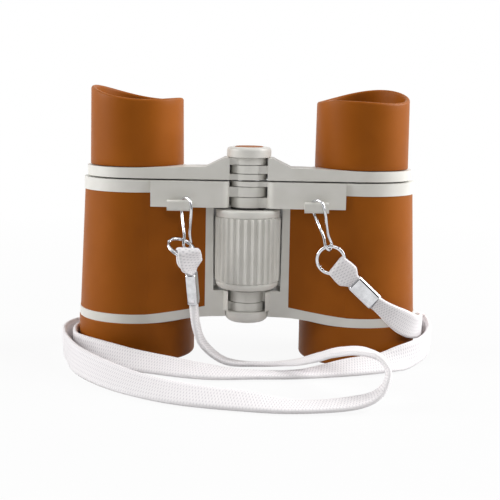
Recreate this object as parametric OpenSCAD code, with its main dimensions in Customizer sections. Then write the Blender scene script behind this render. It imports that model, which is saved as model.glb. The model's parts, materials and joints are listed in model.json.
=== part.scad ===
// Toy binoculars: two armoured barrels on a centre hinge, a fluted focus wheel that lifts the
// ocular bridge, scooped rubber eyecups, and a flat braided strap on two wire hooks.
// Millimetres, +Z up. The object stands on its objective cups, X runs across the barrels and
// -Y is the side of the focus wheel.

/* [Barrels] */
// Distance between the two barrel axes
axis_distance = 73; // [70:0.5:80]
// Outer diameter of an objective cup
cup_d = 38; // [34:0.1:42]
// Height of an objective cup
cup_h = 12.85; // [11:0.05:14]
// Height of the pale band above the cup
band_h = 2.85; // [2.5:0.05:4]
// How far the band lies behind the cup's outside
band_inset = 0.2; // [0.1:0.05:0.3]
// How far the armour's foot lies behind the cup's outside
armour_inset = 0.4; // [0.35:0.05:0.8]
// How far the armour narrows from its foot to the collar, on the radius
armour_taper = 1.7; // [1:0.1:2.2]
// Height of the armour
armour_h = 38.6; // [36:0.1:42]
// Thickness of the armour
armour_t = 1.3; // [0.8:0.1:1.4]
// Height of the collar on top of the body
collar_h = 3.9; // [3:0.1:5]
// How far the body collar stands out over the armour's top
collar_overhang = 0.2; // [0.1:0.05:0.4]
// Wall from the armour's top to the bore in which the eyepiece tube slides
barrel_wall = 3.1; // [2.8:0.1:3.6]

/* [Bridge and hinge] */
// Distance of the hinge axis in front of the barrel axes
hinge_offset = 11; // [10:0.1:12]
// Diameter of the upper hinge knuckles
knuckle_d = 11.3; // [10:0.1:12]
// Diameter of the lower hinge knuckles
low_knuckle_d = 11.2; // [10:0.1:11.4]
// Height of the upper bridge arms
arm_h = 8.2; // [7:0.1:9.5]
// Depth of the upper bridge arms, front to back
arm_depth = 11; // [9:0.5:12]
// How far the front of the upper arms stands before the barrel axes
arm_front = 17.3; // [16.8:0.1:17.8]
// Height of the lower bridge arms at the hinge
low_arm_h = 8.35; // [7:0.05:9]
// Distance of the upper arm's outer end from the hinge
arm_reach = 30.5; // [28:0.1:32]
// Distance from the hinge at which the band starts to sweep up into the lower arm
sweep_root = 32; // [28:0.5:34]
// Distance from the hinge at which that sweep ends
sweep_end = 12; // [9:0.5:13]
// How far the armour's foot rises from the barrel to the strip beside the wheel
armour_rise = 2.5; // [2:0.1:3.4]
// Height of the lower knuckles' foot above the foot of the lower arms
low_knuckle_lift = 2.05; // [1:0.05:2.4]
// Diameter of the bosses beside the lower knuckles
low_boss_d = 15.7; // [14.6:0.1:16.4]
// Thickness of the web between barrel and wheel
web_t = 8.5; // [7:0.1:10]
// Angle by which the web's face turns from the barrel towards the hinge
web_turn = 9.5; // [7:0.5:11]
// Width of the bare strip beside the wheel
strip_w = 2.2; // [1.5:0.1:3]
// Running gap between the wheel and the strips
wheel_gap = 0.5; // [0.4:0.1:1]
// Radial gap round the knuckles
knuckle_gap = 0.3; // [0.2:0.05:0.5]
// Gap between stacked knuckles and washers
stack_gap = 0.1; // [0.05:0.05:0.2]

/* [Focus wheel] */
// Diameter over the ridges of the wheel
wheel_d = 21.2; // [19:0.1:21.6]
// Height of the wheel
wheel_h = 25.4; // [22:0.1:28]
// Number of flutes
flute_count = 31; // [20:1:40]
// Diameter of one flute
flute_d = 1.3; // [0.8:0.1:1.6]
// Height of the plain rim on top of the wheel
wheel_rim_h = 2.3; // [1.5:0.1:3]
// Height of the plain rim under the wheel
wheel_foot_h = 2.2; // [1.5:0.1:3]
// How far the rims lie behind the ridges
wheel_rim_step = 0.35; // [0.1:0.05:0.5]
// Thickness of the washers above and below the wheel
washer_t = 0.5; // [0.3:0.1:0.8]

/* [Hinge metal] */
// Diameter of the focus screw
screw_d = 4.4; // [3.6:0.1:4.6]
// Outer diameter of the upper hinge bush
bush_d = 6.6; // [6.2:0.1:7.2]
// Diameter of the lower hinge pin
pin_d = 5; // [4:0.1:5.6]
// Clearance of turning and sliding fits, on the radius
fit_gap = 0.1; // [0.05:0.01:0.15]
// Clearance of pieces that are glued or pressed together, on the radius
seat_gap = 0.05; // [0.02:0.01:0.1]

/* [Ocular bridge and eyepieces] */
// Gap under the ocular bridge at its lowest
ocular_gap = 0.5; // [0.4:0.1:1]
// Height of the ocular collar
ocular_collar_h = 3.2; // [2.6:0.1:4]
// Wall of the ocular collar outside the barrel's bore
ocular_collar_wall = 2.25; // [1.8:0.05:2.6]
// Height of the ocular arm beside its collar
ocular_arm_h = 3.9; // [3.2:0.1:4.5]
// Height of the ocular bridge at the hinge
ocular_hub_h = 6.8; // [6:0.1:8]
// How far the front of the ocular arms stands before the barrel axes
ocular_front = 16.3; // [15.8:0.1:16.8]
// Depth of the ocular arms, front to back
ocular_depth = 10.6; // [9:0.1:12]
// Distance from the hinge at which the ocular arm starts to rise
ocular_rise = 13.5; // [12:0.1:15]
// Distance from the hinge at which the ocular arm reaches its full height
ocular_crest = 7.7; // [7:0.1:9]
// Wall of the eyepiece tube
tube_wall = 1.3; // [1:0.1:1.8]
// Depth of the eyepiece tube below the ocular bridge
tube_depth = 20; // [16:0.5:30]
// Height of the eyepiece tube above its collar
tube_rise = 4.6; // [4:0.1:6]
// Wall of an eyecup at its foot, round the eyepiece tube
eyecup_foot_wall = 1.4; // [1.2:0.05:1.7]
// How far an eyecup narrows from its foot to its rim, on the radius
eyecup_taper = 0.3; // [0.1:0.05:0.5]
// Wall of an eyecup at its rim
eyecup_wall = 1.5; // [1.2:0.1:2]
// Height of the lowest place of the eyecup's rim above its foot
eyecup_low_h = 21.1; // [17:0.1:24]
// Radius of the scoop that shapes the rim
scoop_r = 60; // [36:1:80]
// How far the scoop's lowest place lies from the eyecup's axis
scoop_shift = 7; // [3:0.5:8]
// Turn of the left eyecup's peak from the outer side
left_eyecup_turn = -12; // [-90:1:90]
// Turn of the right eyecup's peak from the outer side
right_eyecup_turn = 60; // [-90:1:90]

/* [Lenses] */
// Wall of the seat round an objective lens, inside the barrel's spigot
lens_seat_wall = 1.95; // [1.6:0.05:2.2]
// Radius of curvature of an objective lens
objective_curve_r = 62; // [50:1:120]
// Edge thickness of an objective lens
objective_edge_t = 1.6; // [1.2:0.1:2]
// Height of the hood in front of an objective lens
hood_h = 3; // [2.6:0.1:3.6]
// Thickness of the lip that carries an objective lens
lip_t = 1.2; // [1:0.1:1.6]
// Radius of curvature of an eye lens
eye_curve_r = 34; // [26:1:60]
// Edge thickness of an eye lens
eye_edge_t = 1.4; // [1:0.1:2]
// Height of the retaining rings
ring_t = 0.8; // [0.6:0.1:1.2]
// Width of the lips and rings round the lenses
ring_w = 1.2; // [0.8:0.1:1.4]

/* [Caps] */
// Diameter of the caps above and below the hinge
cap_d = 14; // [12:0.1:15]
// Height of the top cap
top_cap_h = 3.3; // [3:0.1:4.5]
// Height of the bottom cap
bottom_cap_h = 3.7; // [3:0.1:4.5]
// Diameter of the inset disc in the top cap
disc_d = 9; // [7:0.1:10]
// Thickness of the inset disc
disc_t = 0.9; // [0.6:0.1:1.2]
// Head diameter of the screw under the disc
cap_screw_head_d = 4.6; // [4:0.1:6]
// Shank diameter of the screw under the disc
cap_screw_d = 2; // [1.6:0.1:2.4]

/* [Strap] */
// Length of a strap lug's bar
lug_w = 7.5; // [6.5:0.1:9]
// Height of a strap lug's bar
lug_h = 3.4; // [2.8:0.1:3.6]
// Thickness of a strap lug's bar
lug_t = 1.6; // [1.2:0.1:1.8]
// Distance of the lug's bar before the arm's face
lug_reach = 2.8; // [2.7:0.1:3.2]
// Distance of a lug's middle from the hinge
lug_x = 21.3; // [20.5:0.1:22]
// Diameter of the hook wire
hook_wire_d = 1; // [0.8:0.1:1.1]
// Diameter of the split ring's wire
ring_wire_d = 1; // [0.8:0.1:1.2]
// Outer diameter of a split ring
split_ring_d = 9.6; // [8.8:0.1:9.8]
// Width of the flat strap
strap_w = 8; // [7:0.1:8.6]
// Thickness of the flat strap
strap_t = 1.6; // [1.2:0.1:1.8]
// Width of a ferrule
ferrule_w = 5.6; // [5.2:0.1:6.4]
// Thickness of a ferrule
ferrule_t = 3.4; // [3:0.1:4]
// Wall of a ferrule
ferrule_wall = 0.5; // [0.4:0.05:0.7]

/* [Hidden] */

$fn = 96;
// Extra length that lets a cut pass its faces
over = 1;

// Colours
pale = "#d9d3c8";
brown = "#8f5626";
dark = "#2b2623";
steel = "#b9bcc0";
glass = "#9fb4bd";
white = "#f1efea";

// Heights, from the floor up
band_z = cup_h;
armour_z = band_z + band_h;
collar_z = armour_z + armour_h;
body_top = collar_z + collar_h;
arm_z = body_top - arm_h;
wheel_top = arm_z - washer_t - 2 * stack_gap;
wheel_z = wheel_top - wheel_h;
low_arm_top = wheel_z - washer_t - 2 * stack_gap;
low_arm_z = low_arm_top - low_arm_h;
ocular_z = body_top + ocular_gap;
eyecup_gap = 0.2;
eyecup_z = ocular_z + ocular_collar_h + eyecup_gap;
top_cap_z = ocular_z + ocular_hub_h + stack_gap;

// Places in plan: the front of the wheel and the back of the cups lie equally far from Y = 0
barrel_y = (hinge_offset + wheel_d / 2 - cup_d / 2) / 2;
hinge_y = barrel_y - hinge_offset;
half = axis_distance / 2;

// Diameters of the barrel, from the cup inwards
band_d = cup_d - 2 * band_inset;
armour_low_d = cup_d - 2 * armour_inset;
armour_top_d = armour_low_d - 2 * armour_taper;
collar_d = armour_top_d + 2 * collar_overhang;
barrel_bore_d = armour_top_d - 2 * barrel_wall;
spigot_d = armour_low_d - 2 * armour_t - 2 * seat_gap;
objective_d = spigot_d - 2 * lens_seat_wall;
tube_d = barrel_bore_d - 2 * fit_gap;
tube_bore_d = tube_d - 2 * tube_wall;
ocular_collar_d = barrel_bore_d + 2 * ocular_collar_wall;
eyecup_d = tube_d + 2 * eyecup_foot_wall;
eyecup_rim_d = eyecup_d - 2 * eyecup_taper;

// Cone of the armour
armour_slope = (armour_low_d - armour_top_d) / 2 / armour_h;
armour_lean = atan(armour_slope);

// Knuckles: the upper body stack from its foot, in thirds; the lower stack and the ocular one
stack_shares = [0, 0.4, 0.8, 1];
low_split_share = 0.56;
ocular_stack_shares = [0, 0.28, 0.68, 1];

// Corner rounding on turned pieces
soft_r = 1.2;
small_r = 0.4;

// A place on one side of the hinge: children are drawn with the barrel's axis at the origin and
// the hinge towards +X
module on_barrel(side) {
    translate([side * half, barrel_y, 0])
        mirror([side > 0 ? 1 : 0, 0, 0])
            children();
}

module on_hinge() {
    translate([0, hinge_y, 0]) children();
}

// A cylinder from one height to another
module post(d, z0, z1) {
    translate([0, 0, z0]) cylinder(d = d, h = z1 - z0);
}

// A ring from one height to another
module tube(d_out, d_in, z0, z1) {
    difference() {
        post(d_out, z0, z1);
        post(d_in, z0 - over, z1 + over);
    }
}

// A turned ring with rounded outer edges; the top or the foot may stay square
module round_ring(d_out, d_in, z0, z1, r_top, r_foot) {
    rotate_extrude()
        intersection() {
            round_profile(d_out / 2, z0, z1, r_top, r_foot);
            translate([d_in / 2, z0]) square([d_out / 2, z1 - z0]);
        }
}

module round_profile(r, z0, z1, r_top, r_foot) {
    translate([0, z0 + r_foot]) square([r, z1 - z0 - r_foot - r_top]);
    translate([0, z0]) square([r - max(r_top, r_foot), z1 - z0]);
    if (r_top > 0) {
        translate([r - r_top, z1 - r_top]) circle(r = r_top);
        translate([0, z1 - r_top]) square([r - r_top, r_top]);
    }
    if (r_foot > 0) {
        translate([r - r_foot, z0 + r_foot]) circle(r = r_foot);
        translate([0, z0]) square([r - r_foot, r_foot]);
    }
}

// BODY HALVES

// The armour's cone, drawn in by an inset and reaching past both ends by an overrun
module barrel_cone(inset, past) {
    translate([0, 0, armour_z - past])
        cylinder(
            d1 = armour_low_d - 2 * inset + 2 * past * armour_slope,
            d2 = armour_top_d - 2 * inset - 2 * past * armour_slope,
            h = armour_h + 2 * past
        );
}

// The slab beside the barrel whose face runs out of the armour's cone almost tangent to it
web_length = half + cup_d / 2;
web_height = body_top;
web_sink_depth = 0.15;
web_bite_h = 1;
module web_slab(inset) {
    rotate([0, 0, web_turn])
        translate([0, -(armour_low_d / 2 - web_sink_depth - inset), armour_z])
            rotate([-armour_lean, 0, 0])
                translate([0, 0, -web_height])
                    cube([web_length, web_t - 2 * inset, 2 * web_height]);
}

// Everything between the barrel's axis and the strip's inner edge, between two heights
strip_x = half - wheel_d / 2 - wheel_gap - strip_w;
module web_space(x1, z0, z1) {
    translate([0, -cup_d, z0]) cube([x1, 2 * cup_d, z1 - z0]);
}

// The lower arm's outline seen from the front: the band runs along the web's face and sweeps
// up to the hinge on an easing curve, and the armour's edge rises beside it
low_arm_root_x = half - sweep_root;
low_arm_rise_x = half - sweep_end;
low_arm_end_x = half - low_knuckle_d / 2 - knuckle_gap;
sweep_steps = 8;
sweep_power = 1.3;
function ease(t) = t * t * (3 - 2 * t);
module low_arm_outline() {
    polygon(concat(
        [[0, band_z]],
        [for (i = [0 : sweep_steps])
            let (t = i / sweep_steps)
            [mid(low_arm_root_x, low_arm_rise_x, t), mid(band_z, low_arm_z, ease(t))]],
        [[low_arm_end_x, low_arm_z], [low_arm_end_x, low_arm_top], [strip_x, low_arm_top]],
        [for (i = [sweep_steps : -1 : 0])
            let (t = i / sweep_steps)
            [mid(low_arm_root_x, strip_x, t), armour_z + armour_rise * pow(t, sweep_power)]],
        [[0, armour_z]]
    ));
}

module low_arm_slice(depth) {
    rotate([90, 0, 0]) linear_extrude(2 * depth, center = true) low_arm_outline();
}

// Behind the hinge axis the arms reach further in than at the front, round the knuckles
wrap_share = 0.75;
wrap_x = half - knuckle_d / 2 * wrap_share;
low_wrap_x = half - low_knuckle_d / 2 * wrap_share;

// Boss of the lower web beside the knuckles
module low_boss() {
    intersection() {
        translate([half, -hinge_offset, 0]) post(low_boss_d, low_knuckle_z, low_arm_top);
        union() {
            web_space(low_arm_end_x, low_knuckle_z, low_arm_top);
            translate([0, -hinge_offset, low_knuckle_z])
                cube([low_wrap_x, cup_d, low_arm_top - low_knuckle_z]);
        }
    }
}

// Upper arm: a plate with a flat front that reaches from the barrel to the hinge
arm_outer_x = half - arm_reach;
arm_end_r = 2.4;
module upper_arm() {
    arm_len = half - arm_outer_x - knuckle_d / 2 - knuckle_gap;
    translate([arm_outer_x, -arm_front, arm_z]) cube([arm_len - arm_end_r, arm_depth, arm_h]);
    translate([arm_outer_x, -arm_front + arm_end_r, arm_z]) cube([arm_len, arm_depth - 2 * arm_end_r, arm_h]);
    for (y = [-arm_front + arm_end_r, -arm_front + arm_depth - arm_end_r])
        translate([arm_outer_x + arm_len - arm_end_r, y, arm_z]) cylinder(r = arm_end_r, h = arm_h);
    wrap_root_x = arm_outer_x + arm_len - 2 * arm_end_r;
    translate([wrap_root_x, -hinge_offset, arm_z])
        cube([wrap_x - wrap_root_x, hinge_offset + arm_depth - arm_front, arm_h]);
}

// The block that carries a knuckle from the arm's end to the hinge
module knuckle_neck(d, z0, z1, depth_share, reach) {
    translate([half - reach, -hinge_offset - d / 2 * depth_share, z0]) cube([reach, d * depth_share, z1 - z0]);
}

function stack_z(i) = arm_z + arm_h * stack_shares[i];
low_knuckle_z = low_arm_z + low_knuckle_lift;
low_split_z = mid(low_arm_top, low_knuckle_z, low_split_share);
neck_share = 0.8;
low_neck_share = 0.4;

// Strap lug: a bar of flattened section on two feet
lug_rise_share = 0.25;
lug_z = arm_z + lug_h * lug_rise_share;
lug_foot_w = 1.2;
module lug(x) {
    bar_y = -arm_front - lug_reach;
    translate([x - lug_w / 2, bar_y, lug_z])
        rotate([90, 0, 90])
            linear_extrude(lug_w)
                union() {
                    square([lug_t, lug_h - lug_t], center = true);
                    for (s = [-1, 1])
                        translate([0, s * (lug_h - lug_t) / 2]) circle(d = lug_t);
                }
    for (end = [-lug_w / 2, lug_w / 2 - lug_foot_w])
        translate([x + end, bar_y, lug_z - lug_h / 2 + lug_t / 2])
            cube([lug_foot_w, lug_reach + small_r, lug_h - lug_t]);
}

// Barrel, web and arms of one half, without its knuckles
module half_shell() {
    spigot_z = hood_h + lip_t + objective_edge_t + ring_t;
    difference() {
        union() {
            intersection() {
                barrel_cone(armour_t, armour_z);
                post(cup_d, armour_z - over, body_top);
            }
            post(spigot_d, spigot_z, armour_z);
            post(band_d, band_z, armour_z);
            post(collar_d, collar_z, body_top);
            upper_arm();
            intersection() {
                web_slab(armour_t);
                web_space(strip_x, armour_z, arm_z + web_bite_h);
            }
            intersection() {
                web_slab(0);
                difference() {
                    web_space(low_arm_end_x, low_arm_top - web_bite_h, arm_z + web_bite_h);
                    web_space(strip_x, -over, body_top);
                }
            }
            intersection() {
                web_slab(0);
                low_arm_slice(cup_d);
            }
            low_boss();
            lug(half - lug_x);
        }
        post(barrel_bore_d, -over, body_top + over);
        translate([half, -hinge_offset, 0]) {
            post(wheel_d + 2 * wheel_gap, low_arm_top, arm_z);
            post(low_knuckle_d + 2 * knuckle_gap, -over, low_arm_top + over);
            post(cap_d + 2 * knuckle_gap, -over, low_knuckle_z);
            post(knuckle_d + 2 * knuckle_gap, arm_z - over, body_top + over);
        }
    }
}

// A knuckle with its neck, between two heights
module knuckle(d, z0, z1, depth_share = neck_share, reach = ocular_crest) {
    translate([half, -hinge_offset, 0]) post(d, z0, z1);
    knuckle_neck(d, z0, z1, depth_share, reach);
}

module left_frame() {
    color(pale) on_barrel(-1) difference() {
        union() {
            half_shell();
            knuckle(knuckle_d, stack_z(1) + stack_gap, stack_z(2) - stack_gap);
            knuckle(low_knuckle_d, low_knuckle_z, low_split_z - stack_gap, low_neck_share);
        }
        translate([half, -hinge_offset, 0]) {
            post(bush_d + 2 * seat_gap, arm_z, body_top);
            post(pin_d + 2 * seat_gap, low_arm_z - over, low_arm_top + over);
        }
    }
}

module right_frame() {
    color(pale) on_barrel(1) difference() {
        union() {
            half_shell();
            knuckle(knuckle_d, stack_z(0), stack_z(1) - stack_gap);
            knuckle(knuckle_d, stack_z(2) + stack_gap, stack_z(3));
            knuckle(low_knuckle_d, low_split_z + stack_gap, low_arm_top, low_neck_share);
        }
        translate([half, -hinge_offset, 0]) {
            post(bush_d + 2 * fit_gap, arm_z - over, body_top + over);
            post(pin_d + 2 * fit_gap, low_arm_z - over, low_arm_top + over);
        }
    }
}

// The soft sleeve over the barrel and its web
module armour_sleeve() {
    difference() {
        union() {
            barrel_cone(0, 0);
            intersection() {
                web_slab(0);
                web_space(strip_x, armour_z, arm_z);
            }
        }
        barrel_cone(armour_t - seat_gap, over);
        intersection() {
            web_slab(armour_t - seat_gap);
            web_space(strip_x + over, 0, body_top);
        }
        intersection() {
            web_slab(-over);
            low_arm_slice(cup_d);
        }
        translate([arm_outer_x - seat_gap, -arm_front - over, arm_z - seat_gap])
            cube([half, arm_depth + over + seat_gap, arm_h + over]);
    }
}

module left_armour() {
    color(brown) on_barrel(-1) armour_sleeve();
}

module right_armour() {
    color(brown) on_barrel(1) armour_sleeve();
}

// OBJECTIVES

lens_seat_z = hood_h + lip_t;
objective_ring_z = lens_seat_z + objective_edge_t;
socket_z = objective_ring_z + ring_t;

module objective_cup() {
    hood_d = objective_d - 2 * ring_w;
    difference() {
        round_ring(cup_d, 0, 0, cup_h, small_r, soft_r);
        translate([0, 0, -over / 2]) cylinder(d1 = objective_d + 2 * ring_w, d2 = hood_d, h = hood_h + over / 2);
        post(hood_d, hood_h - over, lens_seat_z + over);
        post(objective_d + 2 * seat_gap, lens_seat_z, socket_z + over);
        post(spigot_d + 2 * seat_gap, socket_z, cup_h + over);
    }
}

// A lens with one flat and one curved face that swells downwards between its seat's edges
module objective_lens_body() {
    swell_d = objective_d - 2 * ring_w - 2 * seat_gap;
    drop = objective_curve_r - sqrt(pow(objective_curve_r, 2) - pow(swell_d / 2, 2));
    post(objective_d, lens_seat_z, objective_ring_z);
    intersection() {
        post(swell_d, lens_seat_z - drop, objective_ring_z);
        translate([0, 0, lens_seat_z - drop + objective_curve_r]) sphere(r = objective_curve_r);
    }
}

module left_objective_cup() {
    color(brown) on_barrel(-1) objective_cup();
}

module right_objective_cup() {
    color(brown) on_barrel(1) objective_cup();
}

module left_objective_lens() {
    color(glass) on_barrel(-1) objective_lens_body();
}

module right_objective_lens() {
    color(glass) on_barrel(1) objective_lens_body();
}

module lens_ring() {
    tube(objective_d, objective_d - 2 * ring_w, objective_ring_z, socket_z);
}

module left_lens_ring() {
    color(dark) on_barrel(-1) lens_ring();
}

module right_lens_ring() {
    color(dark) on_barrel(1) lens_ring();
}

// OCULAR BRIDGE AND EYEPIECES

tube_z = ocular_z - tube_depth;
tube_top = ocular_z + ocular_collar_h + tube_rise;
eye_ring_top = tube_top - small_r;
eye_seat_z = eye_ring_top - ring_t - eye_edge_t;

// Arm seen from the front: level beside the collar, rising to the hub's full height
ocular_rise_x = half - ocular_rise;
ocular_crest_x = half - ocular_crest;
module ocular_outline() {
    polygon([
        [0, ocular_z],
        [half, ocular_z],
        [half, ocular_z + ocular_hub_h],
        [ocular_crest_x, ocular_z + ocular_hub_h],
        [ocular_rise_x, ocular_z + ocular_arm_h],
        [ocular_rise_x - ocular_arm_h, ocular_z + ocular_arm_h],
        [0, ocular_z + ocular_collar_h]
    ]);
}

function ocular_stack_z(i) = ocular_z + ocular_hub_h * ocular_stack_shares[i];

// Collar and arm of the ocular bridge, ending short of the hinge
module ocular_shell() {
    post(ocular_collar_d, ocular_z, ocular_z + ocular_collar_h);
    difference() {
        translate([0, -ocular_front + ocular_depth, 0])
            rotate([90, 0, 0])
                linear_extrude(ocular_depth) ocular_outline();
        translate([half - knuckle_d / 2 - knuckle_gap, -cup_d, ocular_z - over])
            cube([cup_d, cup_d - hinge_offset, ocular_hub_h + 2 * over]);
        translate([wrap_x, -hinge_offset - over, ocular_z - over])
            cube([cup_d, cup_d, ocular_hub_h + 2 * over]);
        translate([half, -hinge_offset, 0])
            post(knuckle_d + 2 * knuckle_gap, ocular_z - over, ocular_z + ocular_hub_h + over);
        post(eyecup_d + 2 * knuckle_gap, ocular_z + ocular_collar_h, ocular_z + ocular_hub_h + over);
    }
}

module left_ocular_arm() {
    color(pale) on_barrel(-1) difference() {
        union() {
            ocular_shell();
            knuckle(knuckle_d, ocular_stack_z(0), ocular_stack_z(1) - stack_gap);
            knuckle(knuckle_d, ocular_stack_z(2) + stack_gap, ocular_stack_z(3));
        }
        post(tube_d + 2 * seat_gap, ocular_z - over, ocular_z + ocular_hub_h + over);
        translate([half, -hinge_offset, 0])
            post(screw_d + 2 * seat_gap, ocular_z - over, ocular_z + ocular_hub_h + over);
    }
}

module right_ocular_arm() {
    color(pale) on_barrel(1) difference() {
        union() {
            ocular_shell();
            knuckle(knuckle_d, ocular_stack_z(1) + stack_gap, ocular_stack_z(2) - stack_gap);
        }
        post(tube_d + 2 * seat_gap, ocular_z - over, ocular_z + ocular_hub_h + over);
        translate([half, -hinge_offset, 0])
            post(screw_d + 2 * fit_gap, ocular_z - over, ocular_z + ocular_hub_h + over);
    }
}

module eyepiece_tube() {
    difference() {
        post(tube_d, tube_z, tube_top);
        post(tube_bore_d - 2 * ring_w, tube_z - over, tube_top + over);
        post(tube_bore_d, tube_z - over, eye_seat_z - lip_t);
        post(tube_bore_d, eye_seat_z, tube_top + over);
    }
}

module left_eyepiece_tube() {
    color(dark) on_barrel(-1) eyepiece_tube();
}

module right_eyepiece_tube() {
    color(dark) on_barrel(1) eyepiece_tube();
}

// A lens whose upper face swells inside its retaining ring
module eye_lens_body() {
    eye_lens_d = tube_bore_d - 2 * seat_gap;
    swell_d = tube_bore_d - 2 * ring_w - 2 * seat_gap;
    rise = eye_curve_r - sqrt(pow(eye_curve_r, 2) - pow(swell_d / 2, 2));
    post(eye_lens_d, eye_seat_z, eye_seat_z + eye_edge_t);
    intersection() {
        post(swell_d, eye_seat_z, eye_seat_z + eye_edge_t + rise);
        translate([0, 0, eye_seat_z + eye_edge_t + rise - eye_curve_r]) sphere(r = eye_curve_r);
    }
}

module left_eye_lens() {
    color(glass) on_barrel(-1) eye_lens_body();
}

module right_eye_lens() {
    color(glass) on_barrel(1) eye_lens_body();
}

module eye_lens_ring() {
    tube(tube_bore_d - 2 * seat_gap, tube_bore_d - 2 * ring_w, eye_seat_z + eye_edge_t, eye_ring_top);
}

module left_eye_lens_ring() {
    color(dark) on_barrel(-1) eye_lens_ring();
}

module right_eye_lens_ring() {
    color(dark) on_barrel(1) eye_lens_ring();
}

// Rubber cup on the eyepiece tube; its rim is cut by a wide horizontal scoop, so that one side
// rises to a peak
module eyecup(turn) {
    eyecup_top = eyecup_z + eyecup_low_h + pow(eyecup_d / 2 + scoop_shift, 2) / scoop_r;
    difference() {
        translate([0, 0, eyecup_z])
            cylinder(d1 = eyecup_d, d2 = eyecup_rim_d, h = eyecup_top - eyecup_z);
        post(tube_d + 2 * fit_gap, eyecup_z - over, tube_top + fit_gap);
        post(eyecup_rim_d - 2 * eyecup_wall, tube_top, eyecup_top + over);
        rotate([0, 0, turn])
            translate([scoop_shift, 0, eyecup_z + eyecup_low_h + scoop_r])
                rotate([90, 0, 0])
                    cylinder(r = scoop_r, h = 2 * eyecup_d, center = true, $fn = 4 * $fn);
    }
}

module left_eyecup() {
    color(brown) on_barrel(-1) eyecup(left_eyecup_turn);
}

module right_eyecup() {
    color(brown) on_barrel(1) eyecup(-right_eyecup_turn);
}

// HINGE AND FOCUS

// Where the focus screw ends and the lower pin starts and ends, as shares of the wheel and cap
screw_foot_share = 0.5;
pin_top_share = 0.4;
pin_foot_share = 0.6;
screw_z = wheel_z + wheel_h * screw_foot_share;
pin_top = wheel_z + wheel_h * pin_top_share;
pin_z = low_knuckle_z - bottom_cap_h * pin_foot_share;
// How far a flute's centre lies outside the ridges, as a share of its diameter
flute_out_share = 0.08;
wheel_chamfer = 1.5;

module wheel_section() {
    difference() {
        circle(d = wheel_d);
        for (i = [0 : flute_count - 1])
            rotate(i * 360 / flute_count)
                translate([wheel_d / 2 + flute_d * flute_out_share, 0]) circle(d = flute_d, $fn = 24);
    }
}

module focus_wheel() {
    rim_d = wheel_d - 2 * wheel_rim_step;
    flute_z = wheel_z + wheel_foot_h;
    rim_z = wheel_top - wheel_rim_h;
    color(pale) on_hinge() difference() {
        union() {
            round_ring(rim_d, 0, rim_z, wheel_top, small_r, 0);
            translate([0, 0, flute_z]) linear_extrude(rim_z - flute_z) wheel_section();
            translate([0, 0, wheel_z + wheel_chamfer])
                cylinder(d = rim_d, h = wheel_foot_h - wheel_chamfer);
            translate([0, 0, wheel_z])
                cylinder(d1 = rim_d - 2 * wheel_chamfer, d2 = rim_d, h = wheel_chamfer);
        }
        post(pin_d + 2 * fit_gap, wheel_z - over, pin_top + fit_gap);
        post(screw_d + 2 * fit_gap, wheel_z, wheel_top + over);
    }
}

module focus_screw() {
    color(steel) on_hinge() difference() {
        post(screw_d, screw_z, top_cap_z - stack_gap);
        post(cap_screw_d + 2 * seat_gap, cap_screw_foot, top_cap_z + over);
    }
}

cap_screw_len = 6;
cap_floor_t = 1.1;
cap_screw_foot = top_cap_z + cap_floor_t - cap_screw_len;

module upper_hinge_bush() {
    color(steel) on_hinge() tube(bush_d, screw_d + 2 * fit_gap, arm_z, body_top);
}

module lower_hinge_pin() {
    color(steel) on_hinge() post(pin_d, pin_z, pin_top);
}

module upper_washer() {
    color(dark) on_hinge()
        tube(knuckle_d, screw_d + 2 * fit_gap, wheel_top + stack_gap, wheel_top + stack_gap + washer_t);
}

module lower_washer() {
    color(dark) on_hinge()
        tube(low_knuckle_d, pin_d + 2 * seat_gap, low_arm_top + stack_gap, low_arm_top + stack_gap + washer_t);
}

module top_cap() {
    disc_z = top_cap_z + top_cap_h - disc_t + small_r / 2;
    color(pale) on_hinge() difference() {
        round_ring(cap_d, 0, top_cap_z, top_cap_z + top_cap_h, soft_r, small_r);
        post(cap_screw_d + 2 * seat_gap, top_cap_z - over, top_cap_z + top_cap_h);
        post(cap_screw_head_d + 2 * seat_gap, top_cap_z + cap_floor_t, top_cap_z + top_cap_h);
        post(disc_d + 2 * seat_gap, disc_z, top_cap_z + top_cap_h + over);
    }
}

module top_cap_disc() {
    disc_z = top_cap_z + top_cap_h - disc_t + small_r / 2;
    color(brown) on_hinge() round_ring(disc_d, 0, disc_z, disc_z + disc_t, small_r, 0);
}

module cap_screw() {
    color(steel) on_hinge() {
        post(cap_screw_d, cap_screw_foot + stack_gap, top_cap_z + cap_floor_t);
        post(cap_screw_head_d, top_cap_z + cap_floor_t, top_cap_z + top_cap_h - disc_t - stack_gap);
    }
}

module bottom_cap() {
    cap_top = low_knuckle_z - stack_gap;
    color(pale) on_hinge() difference() {
        round_ring(cap_d, 0, cap_top - bottom_cap_h, cap_top, small_r, bottom_cap_h - soft_r);
        post(pin_d + 2 * seat_gap, pin_z, cap_top + over);
    }
}

// STRAP AND ITS CLIPS

// Vectors
function unit(v) = v / norm(v);
function mid(a, b, t) = a + (b - a) * t;

// A smooth curve through points: the place at share t between points i and i + 1
function curve_at(p, i, t) =
    let (n = len(p))
    let (a = p[max(i - 1, 0)], b = p[i], c = p[min(i + 1, n - 1)], d = p[min(i + 2, n - 1)])
    b + (c - a) * t / 2 + (a * 2 - b * 5 + c * 4 - d) * t * t / 2
        + (b * 3 - a - c * 3 + d) * t * t * t / 2;

// All places on the curve, with the given number of steps between points
function smooth(p, steps) = [
    for (i = [0 : len(p) - 2]) for (k = [0 : steps - 1]) curve_at(p, i, k / steps),
    p[len(p) - 1]
];

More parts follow.
